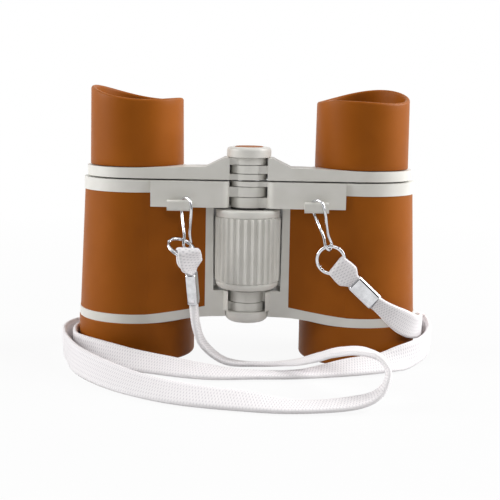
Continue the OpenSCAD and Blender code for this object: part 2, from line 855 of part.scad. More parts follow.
// One solid through a list of rings that have equally many points
module skin(rings, closed) {
    n = len(rings);
    m = len(rings[0]);
    last = closed ? n - 1 : n - 2;
    sides = [
        for (i = [0 : last]) for (j = [0 : m - 1])
            let (a = i * m + j, b = i * m + (j + 1) % m)
            let (c = ((i + 1) % n) * m + (j + 1) % m, d = ((i + 1) % n) * m + j)
            each [[a, c, b], [a, d, c]]
    ];
    ends = closed ? [] : [
        [for (j = [0 : m - 1]) j],
        [for (j = [m - 1 : -1 : 0]) (n - 1) * m + j]
    ];
    polyhedron(points = [for (r = rings) each r], faces = concat(sides, ends));
}

// A flat section with cut corners: width along e, thickness along f
corner_share = 0.3;
function flat_ring(p, e, f, w, t) =
    let (x = w / 2, y = t / 2, c = t * corner_share)
    [
        for (q = [[x, -y + c], [x, y - c], [x - c, y], [-x + c, y],
                  [-x, y - c], [-x, -y + c], [-x + c, -y], [x - c, -y]])
            p + e * q[0] + f * q[1]
    ];

// Section of a flat band at p that runs along d with its edge towards e
function band_ring(p, d, e, w, t) =
    let (f = unit(cross(unit(d), e)))
    let (g = unit(cross(f, unit(d))))
    flat_ring(p, g, f, w, t);

// Where each clip's pieces lie, seen from the middle of its lug's bar
lug_y = barrel_y - arm_front - lug_reach;
left_lug = [-lug_x, lug_y, lug_z];
right_lug = [lug_x, lug_y, lug_z];

// Hook: half widths and drops of its outline as shares of its half width and drop
hook_shares = [
    [0, -0.175], [0.78, -0.127], [1, 0.01], [0.9, 0.22], [0.6, 0.5], [0.46, 0.66],
    [0.58, 0.8], [0.6, 0.9], [0, 1]
];
hook_half_w = 2.62;
hook_drop = 13.8;
hook_sides = 8;
hook_steps = 3;
// Turn of the hook's plane from the bar, so that the wire passes before and behind it; the eye
// below is turned the other way, so that the split ring passes through it
hook_turn = 50;
// Where along the drop the hook's twist starts and ends
hook_twist_shares = [0.22, 0.66];
left_hook_place = [2.2, 0, 0];
right_hook_place = [0.4, 0, 0];
left_hook_lean = -2;
right_hook_lean = -17;

function hook_twist(share) =
    let (start = hook_twist_shares[0], end = hook_twist_shares[1])
    mid(-hook_turn, hook_turn, min(1, max(0, (share - start) / (end - start))));

function hook_point(shares, side) =
    let (x = side * shares[0] * hook_half_w * cos(hook_turn))
    [x, x * tan(hook_twist(shares[1])), -shares[1] * hook_drop];

function hook_outline() =
    let (n = len(hook_shares))
    concat(
        [for (shares = hook_shares) hook_point(shares, 1)],
        [for (i = [n - 2 : -1 : 1]) hook_point(hook_shares[i], -1)]
    );

function closed_at(p, i, t) =
    let (n = len(p))
    curve_at([p[(i + n - 1) % n], p[i], p[(i + 1) % n], p[(i + 2) % n]], 1, t);

module hook(place, lean) {
    p = hook_outline();
    path = [
        for (i = [0 : len(p) - 1]) for (k = [0 : hook_steps - 1]) closed_at(p, i, k / hook_steps)
    ];
    n = len(path);
    rings = [
        for (i = [0 : n - 1])
            let (d = unit(path[(i + 1) % n] - path[(i + n - 1) % n]))
            let (f = unit(cross(d, [0, 1, 0])))
            let (e = cross(f, d))
            [
                for (j = [0 : hook_sides - 1])
                    let (a = j * 360 / hook_sides)
                    path[i] + (e * cos(a) + f * sin(a)) * hook_wire_d / 2
            ]
    ];
    color(steel)
        translate(place)
            rotate([0, lean, 0])
                skin(rings, true);
}

module left_hook() {
    hook(left_lug + left_hook_place, left_hook_lean);
}

module right_hook() {
    hook(right_lug + right_hook_place, right_hook_lean);
}

// Split rings: where each ring's middle lies and the way its axis points
left_ring_place = [1.2, -3.5, -12.7];
left_ring_axis = [0.4, -0.42, 0.82];
right_ring_place = [4.8, 0.1, -16.2];
right_ring_axis = [0.15, 1, 0.05];
// Clearance of the ring in the strap's end loop
ring_gap = 0.15;

// Turns children so that their Z axis points along a direction
module along(v) {
    rotate([0, acos(v[2] / norm(v)), atan2(v[1], v[0])]) children();
}

module ring_body(place, axis, gap) {
    translate(place)
        along(axis)
            rotate_extrude()
                translate([(split_ring_d - ring_wire_d) / 2, 0])
                    circle(d = ring_wire_d + 2 * gap, $fn = 32);
}

module left_split_ring() {
    color(steel) ring_body(left_lug + left_ring_place, left_ring_axis, 0);
}

module right_split_ring() {
    color(steel) ring_body(right_lug + right_ring_place, right_ring_axis, 0);
}

// End loops and ferrules: the loop's crest, and the ferrule's two ends, with the way the
// tape's edge points
left_crest = [3.4, -5.9, -13.5];
left_ferrule_top = [4.2, -4, -20.4];
left_ferrule_foot = [4.95, -2.6, -30];
left_crest_edge = [0.92, 0.38, -0.1];
left_ferrule_edge = [0.1, 1, 0];
right_crest = [7, 0.05, -18.25];
right_ferrule_top = [12.2, -0.3, -23];
right_ferrule_foot = [18.8, -0.8, -29.15];
right_crest_edge = [0.6, 0, 0.8];
right_ferrule_edge = [0.6, 0, 0.8];
// The tape in the ferrule is folded double and gathered
gathered_w = ferrule_w - 2 * ferrule_wall;
gathered_t = ferrule_t - 2 * ferrule_wall;
crest_t = 3;
// The tape's crest stands past the ring's wire
crest_rise = 1.2;
// Where the tape starts to gather between crest and ferrule, and how far it has gathered there
gather_share = 0.45;
gathered_share = 0.4;

// Folded tape from its crest over the ring into the ferrule
module strap_loop(origin, crest, top, foot, crest_edge, edge, ring_place, ring_axis) {
    a = origin + crest;
    b = origin + top;
    c = origin + foot;
    fall = b - a;
    run = c - b;
    head = a - unit(fall) * crest_rise;
    gather_w = mid(strap_w, gathered_w, gathered_share);
    color(white) difference() {
        skin([
            band_ring(head, fall, crest_edge, strap_w, strap_t),
            band_ring(a, fall, crest_edge, strap_w, crest_t),
            band_ring(mid(a, b, gather_share), fall, crest_edge, gather_w, crest_t),
            band_ring(b, run, edge, gathered_w, gathered_t),
            band_ring(c, run, edge, gathered_w, gathered_t)
        ], false);
        ring_body(origin + ring_place, ring_axis, ring_gap);
    }
}

module left_strap_loop() {
    strap_loop(left_lug, left_crest, left_ferrule_top, left_ferrule_foot,
        left_crest_edge, left_ferrule_edge, left_ring_place, left_ring_axis);
}

module right_strap_loop() {
    strap_loop(right_lug, right_crest, right_ferrule_top, right_ferrule_foot,
        right_crest_edge, right_ferrule_edge, right_ring_place, right_ring_axis);
}

// Crimped metal sleeve round the folded tape
module ferrule(origin, top, foot, edge) {
    b = origin + top;
    c = origin + foot;
    run = unit(c - b);
    f = unit(cross(run, edge));
    e = cross(f, run);
    color(steel)
        multmatrix([
            [e[0], f[0], run[0], b[0]],
            [e[1], f[1], run[1], b[1]],
            [e[2], f[2], run[2], b[2]],
            [0, 0, 0, 1]
        ])
            linear_extrude(norm(c - b))
                difference() {
                    round_slab(ferrule_w, ferrule_t);
                    polygon([
                        for (q = flat_ring([0, 0], [1, 0], [0, 1], gathered_w + seat_gap, gathered_t + seat_gap)) q
                    ]);
                }
}

module round_slab(w, t) {
    r = t * corner_share;
    square([w - 2 * r, t], center = true);
    square([w, t - 2 * r], center = true);
    for (x = [-1, 1])
        for (y = [-1, 1])
            translate([x * (w / 2 - r), y * (t / 2 - r)]) circle(r = r, $fn = 32);
}

module left_ferrule() {
    ferrule(left_lug, left_ferrule_top, left_ferrule_foot, left_ferrule_edge);
}

module right_ferrule() {
    ferrule(right_lug, right_ferrule_top, right_ferrule_foot, right_ferrule_edge);
}

// Route of the strap between the ferrules: hanging at the left, across the floor behind the
// first strip, up over it, round the front to a turn beside the left barrel, back in front of
// both barrels to a turn beside the right one, and up to the right ferrule
strap_route = [
    [-15.4, -21.7, 13.4], [-12.8, -21, 7.2], [-6, -21.2, 2.3], [4, -23, 2], [14, -26.4, 3.6],
    [21.2, -33.2, 7], [27.4, -39.5, 10.4], [33.4, -47, 12.6], [38.4, -53.6, 12.2], [40.2, -57.6, 8.8],
    [37.2, -60.8, 4.4], [30, -63, 2.1], [15, -65, 1.4], [1, -64.2, 2.4], [-18, -59.4, 2.8],
    [-35, -48.6, 3.2], [-49.6, -32, 3.9], [-57, -15, 4.2], [-59.8, -3, 4.2], [-59.9, 5, 4.1],
    [-58.4, 11, 4.1], [-56, 13.7, 4.2], [-54, 12.8, 4.3], [-54.9, 9, 4.3], [-56.6, 3, 4.3],
    [-56.3, -4.5, 4.3], [-53.2, -13.2, 4.2], [-40.4, -23.8, 3.7], [-27, -28.8, 2.9], [-12, -33.6, 2.2],
    [2, -32.4, 1.25], [17, -30.8, 1.2], [32, -27, 2.6], [43.8, -22, 3.1], [52.2, -15.8, 4.2],
    [57.7, -8.6, 5.3], [60.2, -1.8, 6.8], [59.9, 3.2, 8.4], [58.2, 5.2, 9.4], [57, 3, 10],
    [56.8, -3.6, 11], [52.8, -12.8, 12.8], [46.6, -18.4, 17]
];
// The way the strap's upper edge points at each of those places
strap_edges = [
    [0.1, 1, 0], [0.05, 1, 0], [0, 1, -0.1], [0, 1, -0.25], [0, 1, -0.2],
    [0, 1, -0.1], [0, 1, -0.1], [0, 1, -0.1], [0, 1, -0.1], [0.1, 1, -0.1],
    [0.1, 1, 0], [0, 1, 0.1], [0, 1, 0.1], [0, 0.9, 0.4], [0, 0.85, 0.5],
    [0, 0.8, 0.6], [0, 0.6, 0.8], [0, 0.1, 1], [-0.1, 0, 1], [-0.25, 0.05, 1],
    [-0.15, 0.1, 1], [0, 0, 1], [0, 0, 1], [0, 0, 1], [0, 0, 1],
    [0, 0, 1], [0, 0.15, 1], [0, 0.62, 0.78], [0, 0.85, 0.53], [0, 0.95, 0.3],
    [0, 1, 0], [0, 1, 0], [0, 0.92, 0.4], [0, 0.8, 0.5], [0, 0.3, 0.9],
    [0, 0.1, 1], [0, 0, 1], [0, 0, 1], [0, 0, 1], [0, 0, 1],
    [0.05, 0, 1], [0.25, -0.1, 0.9], [0.5, 0, 0.85]
];
strap_steps = 2;
// Gap between the strap's ends and the ferrules
strap_gap = 0.1;
// Number of rings over which the strap spreads from the ferrules to its full width
spread_rings = 5;

module strap() {
    left_end = left_lug + left_ferrule_foot;
    right_end = right_lug + right_ferrule_foot;
    left_run = unit(left_ferrule_foot - left_ferrule_top);
    right_run = unit(right_ferrule_top - right_ferrule_foot);
    path = smooth(
        concat([left_end + left_run * strap_gap], strap_route, [right_end - right_run * strap_gap]),
        strap_steps
    );
    edges = smooth(concat([left_ferrule_edge], strap_edges, [right_ferrule_edge]), strap_steps);
    n = len(path);
    color(white)
        skin([
            for (i = [0 : n - 1])
                let (d = i == 0 ? left_run : i == n - 1 ? right_run : path[i + 1] - path[i - 1])
                let (s = min(1, min(i, n - 1 - i) / spread_rings))
                band_ring(path[i], d, edges[i], mid(gathered_w, strap_w, s), mid(gathered_t, strap_t, s))
        ], false);
}

left_frame();
right_frame();
left_armour();
right_armour();
left_objective_cup();
right_objective_cup();
left_objective_lens();
right_objective_lens();
left_lens_ring();
right_lens_ring();
left_ocular_arm();
right_ocular_arm();
left_eyepiece_tube();
right_eyepiece_tube();
left_eye_lens();
right_eye_lens();
left_eye_lens_ring();
right_eye_lens_ring();
left_eyecup();
right_eyecup();
focus_wheel();
focus_screw();
upper_hinge_bush();
lower_hinge_pin();
upper_washer();
lower_washer();
top_cap();
top_cap_disc();
cap_screw();
bottom_cap();
left_hook();
right_hook();
left_split_ring();
right_split_ring();
left_strap_loop();
right_strap_loop();
left_ferrule();
right_ferrule();
strap();
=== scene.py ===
# Looks of a pair of toy binoculars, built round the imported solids: soft-touch brown rubber over
# pale moulded plastic, plated clips, and a flat braided tape that lies on the floor.
import json
import math

import bpy
import numpy as np
from mathutils import Matrix, Vector


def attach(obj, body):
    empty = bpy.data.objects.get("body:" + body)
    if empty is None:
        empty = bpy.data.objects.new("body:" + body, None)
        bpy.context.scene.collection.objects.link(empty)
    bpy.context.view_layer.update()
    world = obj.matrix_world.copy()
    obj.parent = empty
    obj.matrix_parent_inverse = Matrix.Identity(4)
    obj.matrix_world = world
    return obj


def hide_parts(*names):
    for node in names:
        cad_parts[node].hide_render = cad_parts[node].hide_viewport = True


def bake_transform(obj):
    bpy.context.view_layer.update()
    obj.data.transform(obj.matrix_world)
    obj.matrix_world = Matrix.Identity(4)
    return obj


MM = 0.001

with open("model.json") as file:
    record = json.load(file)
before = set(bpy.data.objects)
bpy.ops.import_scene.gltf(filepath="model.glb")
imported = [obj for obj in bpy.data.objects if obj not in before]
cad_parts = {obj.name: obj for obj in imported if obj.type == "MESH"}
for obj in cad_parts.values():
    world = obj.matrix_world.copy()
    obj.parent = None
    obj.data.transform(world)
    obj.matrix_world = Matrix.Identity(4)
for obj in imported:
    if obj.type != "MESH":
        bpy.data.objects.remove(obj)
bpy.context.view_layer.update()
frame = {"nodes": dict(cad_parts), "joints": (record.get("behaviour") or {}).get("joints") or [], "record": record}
nodes = frame["nodes"]
joints = {joint["name"]: joint for joint in frame["joints"]}
slots = {part["node"]: part["material_slot"] for part in frame["record"]["subparts"]}

# CAMERA

LENS_MM = 74.84
SENSOR_MM = 36
CAMERA_PLACE = Vector((3.57, -338.47, 85.41)) * MM
CAMERA_YAW = -0.0084
CAMERA_PITCH = 0.1493
CAMERA_ROLL = 0.0177


def make_camera():
    """The photograph's camera: a long lens, level with the eyecups' rims, that looks a little down."""
    camera = bpy.data.objects.new("camera", bpy.data.cameras.new("camera"))
    bpy.context.scene.collection.objects.link(camera)
    camera.data.lens = LENS_MM
    camera.data.sensor_width = SENSOR_MM
    level = math.cos(CAMERA_PITCH)
    ahead = Vector((
        math.sin(CAMERA_YAW) * level, math.cos(CAMERA_YAW) * level, -math.sin(CAMERA_PITCH),
    ))
    across = Vector((math.cos(CAMERA_YAW), -math.sin(CAMERA_YAW), 0))
    upward = across.cross(ahead)
    right = math.cos(CAMERA_ROLL) * across + math.sin(CAMERA_ROLL) * upward
    top = math.cos(CAMERA_ROLL) * upward - math.sin(CAMERA_ROLL) * across
    facing = Matrix((right, top, -ahead)).transposed().to_4x4()
    camera.matrix_world = Matrix.Translation(CAMERA_PLACE) @ facing
    bpy.context.scene.camera = camera


make_camera()

# MATERIALS

# Most of a noise texture's values lie between these
NOISE_LOW = 0.3
NOISE_HIGH = 0.7


def srgb(red, green, blue):
    """A screen colour of 0 to 255 as the linear colour that shaders take."""
    parts = [value / 255 for value in (red, green, blue)]
    return tuple(p / 12.92 if p <= 0.04045 else ((p + 0.055) / 1.055) ** 2.4 for p in parts) + (1,)


class Shader:
    """A material with a Principled shader and a few helpers that wire nodes into it."""

    def __init__(self, name, **values):
        self.material = bpy.data.materials.new(name)
        self.material.use_nodes = True
        self.tree = self.material.node_tree
        self.surface = self.tree.nodes["Principled BSDF"]
        self.place = self.tree.nodes.new("ShaderNodeTexCoord").outputs["Object"]
        for socket, value in values.items():
            self.surface.inputs[socket.replace("_", " ")].default_value = value

    def node(self, kind, **values):
        node = self.tree.nodes.new(kind)
        for socket, value in values.items():
            node.inputs[socket.replace("_", " ")].default_value = value
        return node

    def link(self, output, target):
        self.tree.links.new(output, target)

    def noise(self, size, detail=2.0):
        """Noise whose features are about as large as size, in metres."""
        noise = self.node("ShaderNodeTexNoise", Scale=1 / size, Detail=detail)
        self.link(self.place, noise.inputs["Vector"])
        return noise.outputs["Fac"]

    def ramp(self, source, low, high, start=0.35, end=0.65):
        """A colour that goes from low to high as source goes from start to end."""
        ramp = self.node("ShaderNodeValToRGB")
        ramp.color_ramp.elements[0].position = start
        ramp.color_ramp.elements[1].position = end
        ramp.color_ramp.elements[0].color = low
        ramp.color_ramp.elements[1].color = high
        self.link(source, ramp.inputs["Fac"])
        return ramp.outputs["Color"]

    def spread(self, source, low, high):
        """A number that goes from low to high with source."""
        spread = self.node(
            "ShaderNodeMapRange", From_Min=NOISE_LOW, From_Max=NOISE_HIGH, To_Min=low, To_Max=high,
        )
        self.link(source, spread.inputs["Value"])
        return spread.outputs["Result"]

    def colour(self, source):
        self.link(source, self.surface.inputs["Base Color"])

    def roughness(self, source):
        self.link(source, self.surface.inputs["Roughness"])

    def bump(self, source, height, strength=1.0):
        bump = self.node("ShaderNodeBump", Strength=strength, Distance=height)
        self.link(source, bump.inputs["Height"])
        self.link(bump.outputs["Normal"], self.surface.inputs["Normal"])


def rubber():
    """Matte soft-touch rubber: a faint clouding of the brown and a fine grain."""
    shader = Shader("brown_rubber", Sheen_Weight=0.14, Sheen_Roughness=0.3, Specular_IOR_Level=0.12)
    shader.surface.inputs["Sheen Tint"].default_value = srgb(255, 205, 150)
    shader.colour(shader.ramp(shader.noise(14 * MM), srgb(144, 77, 11), srgb(151, 82, 14)))
    shader.roughness(shader.spread(shader.noise(3 * MM), 0.42, 0.5))
    shader.bump(shader.noise(0.35 * MM, detail=3), 0.02 * MM, 0.35)
    return shader.material


def pale_plastic():
    """Warm pale grey moulded plastic with a satin skin."""
    shader = Shader("pale_plastic", Specular_IOR_Level=0.5)
    shader.colour(shader.ramp(shader.noise(9 * MM), srgb(214, 212, 205), srgb(221, 219, 213)))
    shader.roughness(shader.spread(shader.noise(1.5 * MM), 0.34, 0.44))
    shader.bump(shader.noise(0.25 * MM, detail=2), 0.01 * MM, 0.3)
    return shader.material


def dark_plastic():
    """Near-black matte plastic of the parts inside the barrels."""
    shader = Shader("dark_plastic")
    shader.colour(shader.ramp(shader.noise(4 * MM), srgb(32, 29, 27), srgb(40, 37, 34)))
    shader.roughness(shader.spread(shader.noise(1 * MM), 0.45, 0.6))
    shader.bump(shader.noise(0.3 * MM), 0.01 * MM, 0.4)
    return shader.material


def plated(name, low, high, rough_low, rough_high):
    """Plated or turned metal, a little cloudy where it is handled."""
    shader = Shader(name, Metallic=1.0)
    shader.colour(shader.ramp(shader.noise(2.5 * MM), low, high))
    shader.roughness(shader.spread(shader.noise(1.2 * MM), rough_low, rough_high))
    shader.bump(shader.noise(0.5 * MM), 0.005 * MM, 0.3)
    return shader.material


def lens_glass():
    """Clear glass with a faint bluish coating, slightly dusty."""
    shader = Shader(
        "lens_glass", Transmission_Weight=0.9, IOR=1.5, Coat_Weight=0.4, Coat_Roughness=0.02,
    )
    shader.surface.inputs["Coat Tint"].default_value = srgb(190, 200, 235)
    shader.colour(shader.ramp(shader.noise(8 * MM), srgb(196, 208, 216), srgb(210, 220, 226)))
    shader.roughness(shader.spread(shader.noise(2 * MM), 0.02, 0.07))
    return shader.material


def tape():
    """White polyester tape, with painted shade in the pits between its stitches: there it is coloured greyer than
    the threads.
    """
    shader = Shader("white_tape", Sheen_Weight=0.15, Sheen_Roughness=0.5, Specular_IOR_Level=0.3)
    pits = shader.node("ShaderNodeAttribute")
    pits.attribute_name = "pit"
    threads = srgb(237, 234, 235)
    # Painted shade: the pits are coloured greyer, standing in for the shadow in the braid's hollows
    painted_pit_shade = srgb(192, 188, 193)
    shader.colour(shader.ramp(pits.outputs["Fac"], threads, painted_pit_shade, 0.1, 0.9))
    shader.roughness(shader.spread(shader.noise(1 * MM), 0.6, 0.75))
    shader.bump(shader.noise(0.18 * MM, detail=2), 0.03 * MM, 0.5)
    return shader.material


MATERIALS = {
    "brown_rubber": rubber(),
    "pale_plastic": pale_plastic(),
    "dark_plastic": dark_plastic(),
    "lens_glass": lens_glass(),
    "steel": plated("steel", srgb(172, 173, 176), srgb(190, 191, 194), 0.1, 0.18),
    "chrome_wire": plated("chrome_wire", srgb(205, 206, 209), srgb(224, 225, 228), 0.06, 0.14),
    "white_tape": tape(),
}

# SOLIDS OF THE FRAME: their own material, and edges rounded as moulded ones are

EDGE_MM = {
    "left_frame": 0.14, "right_frame": 0.14, "left_ocular_arm": 0.14, "right_ocular_arm": 0.14,
    "left_armour": 0.3, "right_armour": 0.3, "left_objective_cup": 0.4, "right_objective_cup": 0.4,
    "top_cap": 0.3, "bottom_cap": 0.3, "top_cap_disc": 0.2,
    "left_ferrule": 0.7, "right_ferrule": 0.7,
}
EDGE_SEGMENTS = 3
WELD_GAP = 0.002 * MM
EDGE_ANGLE = math.radians(40)


def dress(name, node):
    """The material of the node's slot, rounded edges where it has them, and smooth shading."""
    node.data.materials.clear()
    node.data.materials.append(MATERIALS[slots[name]])
    weld = node.modifiers.new("weld", "WELD")
    weld.merge_threshold = WELD_GAP
    if name in EDGE_MM:
        bevel = node.modifiers.new("edge", "BEVEL")
        bevel.width = EDGE_MM[name] * MM
        bevel.segments = EDGE_SEGMENTS
        bevel.limit_method = "ANGLE"
        bevel.angle_limit = EDGE_ANGLE
        bevel.miter_outer = "MITER_ARC"
        node.modifiers.new("normals", "WEIGHTED_NORMAL")
    if name.endswith("hook"):
        node.modifiers.new("round", "SUBSURF").render_levels = 1
    node.data.polygons.foreach_set("use_smooth", [True] * len(node.data.polygons))


for name, node in nodes.items():
    dress(name, node)

# MESH HELPERS


def unit(vectors):
    return vectors / np.linalg.norm(vectors, axis=-1, keepdims=True)


def smooth(points, steps):
    """Places on a smooth curve through points, with the given steps between each pair."""
    p = np.asarray(points, float)
    last = len(p) - 1
    places = []
    for i in range(last):
        a, b, c, d = p[max(i - 1, 0)], p[i], p[i + 1], p[min(i + 2, last)]
        for t in np.arange(steps) / steps:
            bend = (2 * a - 5 * b + 4 * c - d) * t ** 2 + (3 * b - a - 3 * c + d) * t ** 3
            places.append(b + ((c - a) * t + bend) / 2)
    return np.array(places + [p[last]])


def lengths(path):
    """How far along the path each of its points lies."""
    return np.concatenate([[0], np.cumsum(np.linalg.norm(np.diff(path, axis=0), axis=1))])


def ease(t):
    t = np.clip(t, 0, 1)
    return t * t * (3 - 2 * t)


def even(values, along, places):
    """Values given at the lengths along, read off at other places."""
    return np.column_stack([np.interp(places, along, values[:, i]) for i in range(values.shape[1])])


def mesh_piece(name, points, faces, slot, pit=None):
    mesh = bpy.data.meshes.new(name)
    mesh.from_pydata(points.tolist(), [], faces)
    mesh.polygons.foreach_set("use_smooth", [True] * len(mesh.polygons))
    if pit is not None:
        attribute = mesh.attributes.new("pit", "FLOAT", "POINT")
        attribute.data.foreach_set("value", pit.astype(np.float32))
    piece = bpy.data.objects.new(name, mesh)
    bpy.context.scene.collection.objects.link(piece)
    mesh.materials.append(MATERIALS[slot])
    return piece


def skin_faces(rings, sides):
    """Faces of a tube of rings with equally many points, and of its two ends."""
    faces = [
        (i * sides + j, i * sides + (j + 1) % sides,
         (i + 1) * sides + (j + 1) % sides, (i + 1) * sides + j)
        for i in range(rings - 1) for j in range(sides)
    ]
    faces.append(tuple(range(sides - 1, -1, -1)))
    faces.append(tuple((rings - 1) * sides + j for j in range(sides)))
    return faces


def lathe_faces(turns, levels):
    """Faces of a ring-shaped body: profiles of equally many levels, set round an axis."""
    return [
        (i * levels + j, (i + 1) % turns * levels + j,
         (i + 1) % turns * levels + (j + 1) % levels, i * levels + (j + 1) % levels)
        for i in range(turns) for j in range(levels)
    ]


# EYECUPS: rubber cups whose rounded lip follows a wide scoop, so that one side rises to a peak

EYECUP_FOOT_R = 15.1 * MM
EYECUP_TAPER = 0.3 / 30.5
EYECUP_BORE_R = 13.3 * MM
EYECUP_SOCKET_R = 13.8 * MM
EYECUP_FOOT_Z = 62.1 * MM
EYECUP_SHELF_Z = 66.6 * MM
EYECUP_LOW_H = 21.1 * MM
SCOOP_R = 60 * MM
SCOOP_SHIFT = 7 * MM
EYECUP_TURNS = 160
WALL_LEVELS = 12
LIP_LEVELS = 9
FOOT_ROUND = 0.35 * MM
# How far the middle of a rounding stands in from its corner, as a share of its radius
ROUND_SHARE = 0.3
# Directions of the scoops' low sides, in degrees from +X
LEFT_LOW_SIDE = -12
RIGHT_LOW_SIDE = 240


def eyecup(name, axis_at, low_side, body, node):
    """low_side is the direction, in degrees from +X, in which the scoop is lowest."""
    rows = []
    for angle in np.arange(EYECUP_TURNS) * 2 * np.pi / EYECUP_TURNS:
        dip = EYECUP_FOOT_R * math.cos(angle - math.radians(low_side)) - SCOOP_SHIFT
        top = EYECUP_FOOT_Z + EYECUP_LOW_H + SCOOP_R - math.sqrt(SCOOP_R ** 2 - dip ** 2)
        outer = EYECUP_FOOT_R - (top - EYECUP_FOOT_Z) * EYECUP_TAPER
        lip = (outer - EYECUP_BORE_R) / 2
        wall = np.linspace(EYECUP_FOOT_Z + FOOT_ROUND, top - lip, WALL_LEVELS)
        bore = np.linspace(top - lip, EYECUP_SHELF_Z, WALL_LEVELS)
        bend = np.linspace(0, np.pi, LIP_LEVELS + 2)[1:-1]
        radius = np.concatenate([
            [EYECUP_SOCKET_R, EYECUP_FOOT_R - FOOT_ROUND, EYECUP_FOOT_R - FOOT_ROUND * ROUND_SHARE],
            EYECUP_FOOT_R - (wall - EYECUP_FOOT_Z) * EYECUP_TAPER,
            outer - lip + lip * np.cos(bend), [EYECUP_BORE_R] * WALL_LEVELS, [EYECUP_SOCKET_R],
        ])
        height = np.concatenate([
            [EYECUP_FOOT_Z, EYECUP_FOOT_Z, EYECUP_FOOT_Z + FOOT_ROUND * ROUND_SHARE],
            wall, top - lip + lip * np.sin(bend), bore, [EYECUP_SHELF_Z],
        ])
        rows.append(np.column_stack([
            axis_at[0] + radius * math.cos(angle), axis_at[1] + radius * math.sin(angle), height,
        ]))
    faces = lathe_faces(EYECUP_TURNS, len(rows[0]))
    piece = mesh_piece(name, np.vstack(rows), faces, "brown_rubber")
    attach(piece, body)
    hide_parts(node)


eyecup(
    "eyecup_left", joints["left_eyecup_turn"]["pos_m"], LEFT_LOW_SIDE, "left_eyecup", "left_eyecup",
)
eyecup(
    "eyecup_right", joints["right_eyecup_turn"]["pos_m"], RIGHT_LOW_SIDE, "right_eyecup", "right_eyecup",
)

# FOCUS WHEEL: rounded ribs between two plain rims

RIB_COUNT = 31
RIB_STEPS = 16
RIB_SHARE = 0.5
RIB_R = 10.6 * MM
RIM_R = 10.25 * MM
GROOVE_R = 9.85 * MM
WHEEL_BORE_R = 2.3 * MM
WHEEL_Z = 23.9 * MM
WHEEL_TOP = 49.3 * MM
RIM_Z = 47 * MM
RIB_Z = 26.3 * MM
FOOT_R = 2.3 * MM
RIB_END = 0.9 * MM
RIM_ROUND = 0.4 * MM
# The rim's lower edge, above the ribs: a small step out of the grooves, and its rounding
RIM_EDGE_Z = 0.05 * MM
RIM_EDGE_TOP = 0.2 * MM
RIM_EDGE_R = 0.12 * MM
ROUND_STEPS = 6


def focus_wheel():
    """A grooved core with ribs that swell out of it and round off towards the rims."""
    angle = np.arange(RIB_COUNT * RIB_STEPS) * 2 * np.pi / (RIB_COUNT * RIB_STEPS)
    across = np.abs((angle * RIB_COUNT / (2 * np.pi) + 0.5) % 1 - 0.5) * 2 / RIB_SHARE
    rib = np.sqrt(np.clip(1 - across ** 2, 0, 1))
    turn = np.linspace(0, np.pi / 2, ROUND_STEPS)
    low_end = [(RIB_Z + RIB_END * (1 - math.cos(a)), math.sin(a)) for a in turn]
    high_end = [(RIM_Z - RIB_END * (1 - math.cos(a)), math.sin(a)) for a in turn[::-1]]
    foot = [
        (WHEEL_Z + FOOT_R * (1 - math.cos(a)), RIM_R - FOOT_R * (1 - math.sin(a))) for a in turn
    ]
    plain = [(WHEEL_Z, WHEEL_BORE_R)] + foot + [(RIB_Z, GROOVE_R)]
    crown = [
        (RIM_Z, GROOVE_R), (RIM_Z + RIM_EDGE_Z, RIM_R - RIM_EDGE_R), (RIM_Z + RIM_EDGE_TOP, RIM_R),
        (WHEEL_TOP - RIM_ROUND, RIM_R),
        (WHEEL_TOP - RIM_ROUND * ROUND_SHARE, RIM_R - RIM_ROUND * ROUND_SHARE),
        (WHEEL_TOP, RIM_R - RIM_ROUND), (WHEEL_TOP, WHEEL_BORE_R),
    ]
    rings = [(z, np.full(len(angle), r)) for z, r in plain]
    rings += [
        (z, GROOVE_R + (RIB_R - GROOVE_R) * rib * share) for z, share in low_end + high_end
    ]
    rings += [(z, np.full(len(angle), r)) for z, r in crown]
    axis_at = joints["focus_turn"]["pos_m"]
    points = np.stack([
        np.column_stack([
            axis_at[0] + r * np.cos(angle), axis_at[1] + r * np.sin(angle), np.full(len(angle), z),
        ])
        for z, r in rings
    ], axis=1)
    faces = lathe_faces(len(angle), len(rings))
    piece = mesh_piece("wheel_ribbed", points.reshape(-1, 3), faces, "pale_plastic")
    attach(piece, "focus_wheel")
    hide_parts("focus_wheel")


focus_wheel()

# TAPE: a flat braid with rows of stitches, whose pits alternate from row to row

TAPE_W = 8 * MM
TAPE_T = 1.6 * MM
STITCH_ROWS = 7
STITCH_LENGTH = 0.9 * MM
PIT_DEPTH = 0.1 * MM
RING_SPACING = 0.225 * MM
ACROSS_POINTS = 23
EDGE_POWER = 8
# How strongly the points across the tape crowd towards its edges
CROWDING = 0.2


def tape_piece(name, path, edges, widths, thicknesses, start=0.0):
    """A tape along path, with its edge along edges, that begins at start on the strap's length."""
    run = unit(np.gradient(path, axis=0))
    face = unit(np.cross(run, edges))
    edge = np.cross(face, run)
    along = start + lengths(path)
    v = np.linspace(-1, 1, ACROSS_POINTS)
    u = (1 - CROWDING) * v + CROWDING * np.sin(v * np.pi / 2)
    swell = np.sqrt(np.clip(1 - np.abs(u) ** EDGE_POWER, 0, 1))
    row = np.sin(np.pi * STITCH_ROWS * (u + 1) / 2)
    stitch = np.sin(2 * np.pi * along / STITCH_LENGTH)
    # How far each point sinks into a pit; the tape's material also paints shade in the pits from this
    pit = np.clip(row[None, :] * stitch[:, None], 0, 1) * (swell ** 2)[None, :]
    half = thicknesses[:, None] / 2 * swell[None, :] - PIT_DEPTH * pit
    side = edge[:, None, :] * (widths[:, None] / 2 * u[None, :])[:, :, None]
    front = path[:, None, :] + side + face[:, None, :] * half[:, :, None]
    back = path[:, None, :] + side - face[:, None, :] * half[:, :, None]
    rings = np.concatenate([front, back[:, -2:0:-1]], axis=1)
    pits = np.concatenate([pit, pit[:, -2:0:-1]], axis=1)
    faces = skin_faces(*rings.shape[:2])
    return mesh_piece(name, rings.reshape(-1, 3), faces, "white_tape", pits.ravel())


# STRAP: from the left ferrule down to the floor, round the front and up to the right ferrule

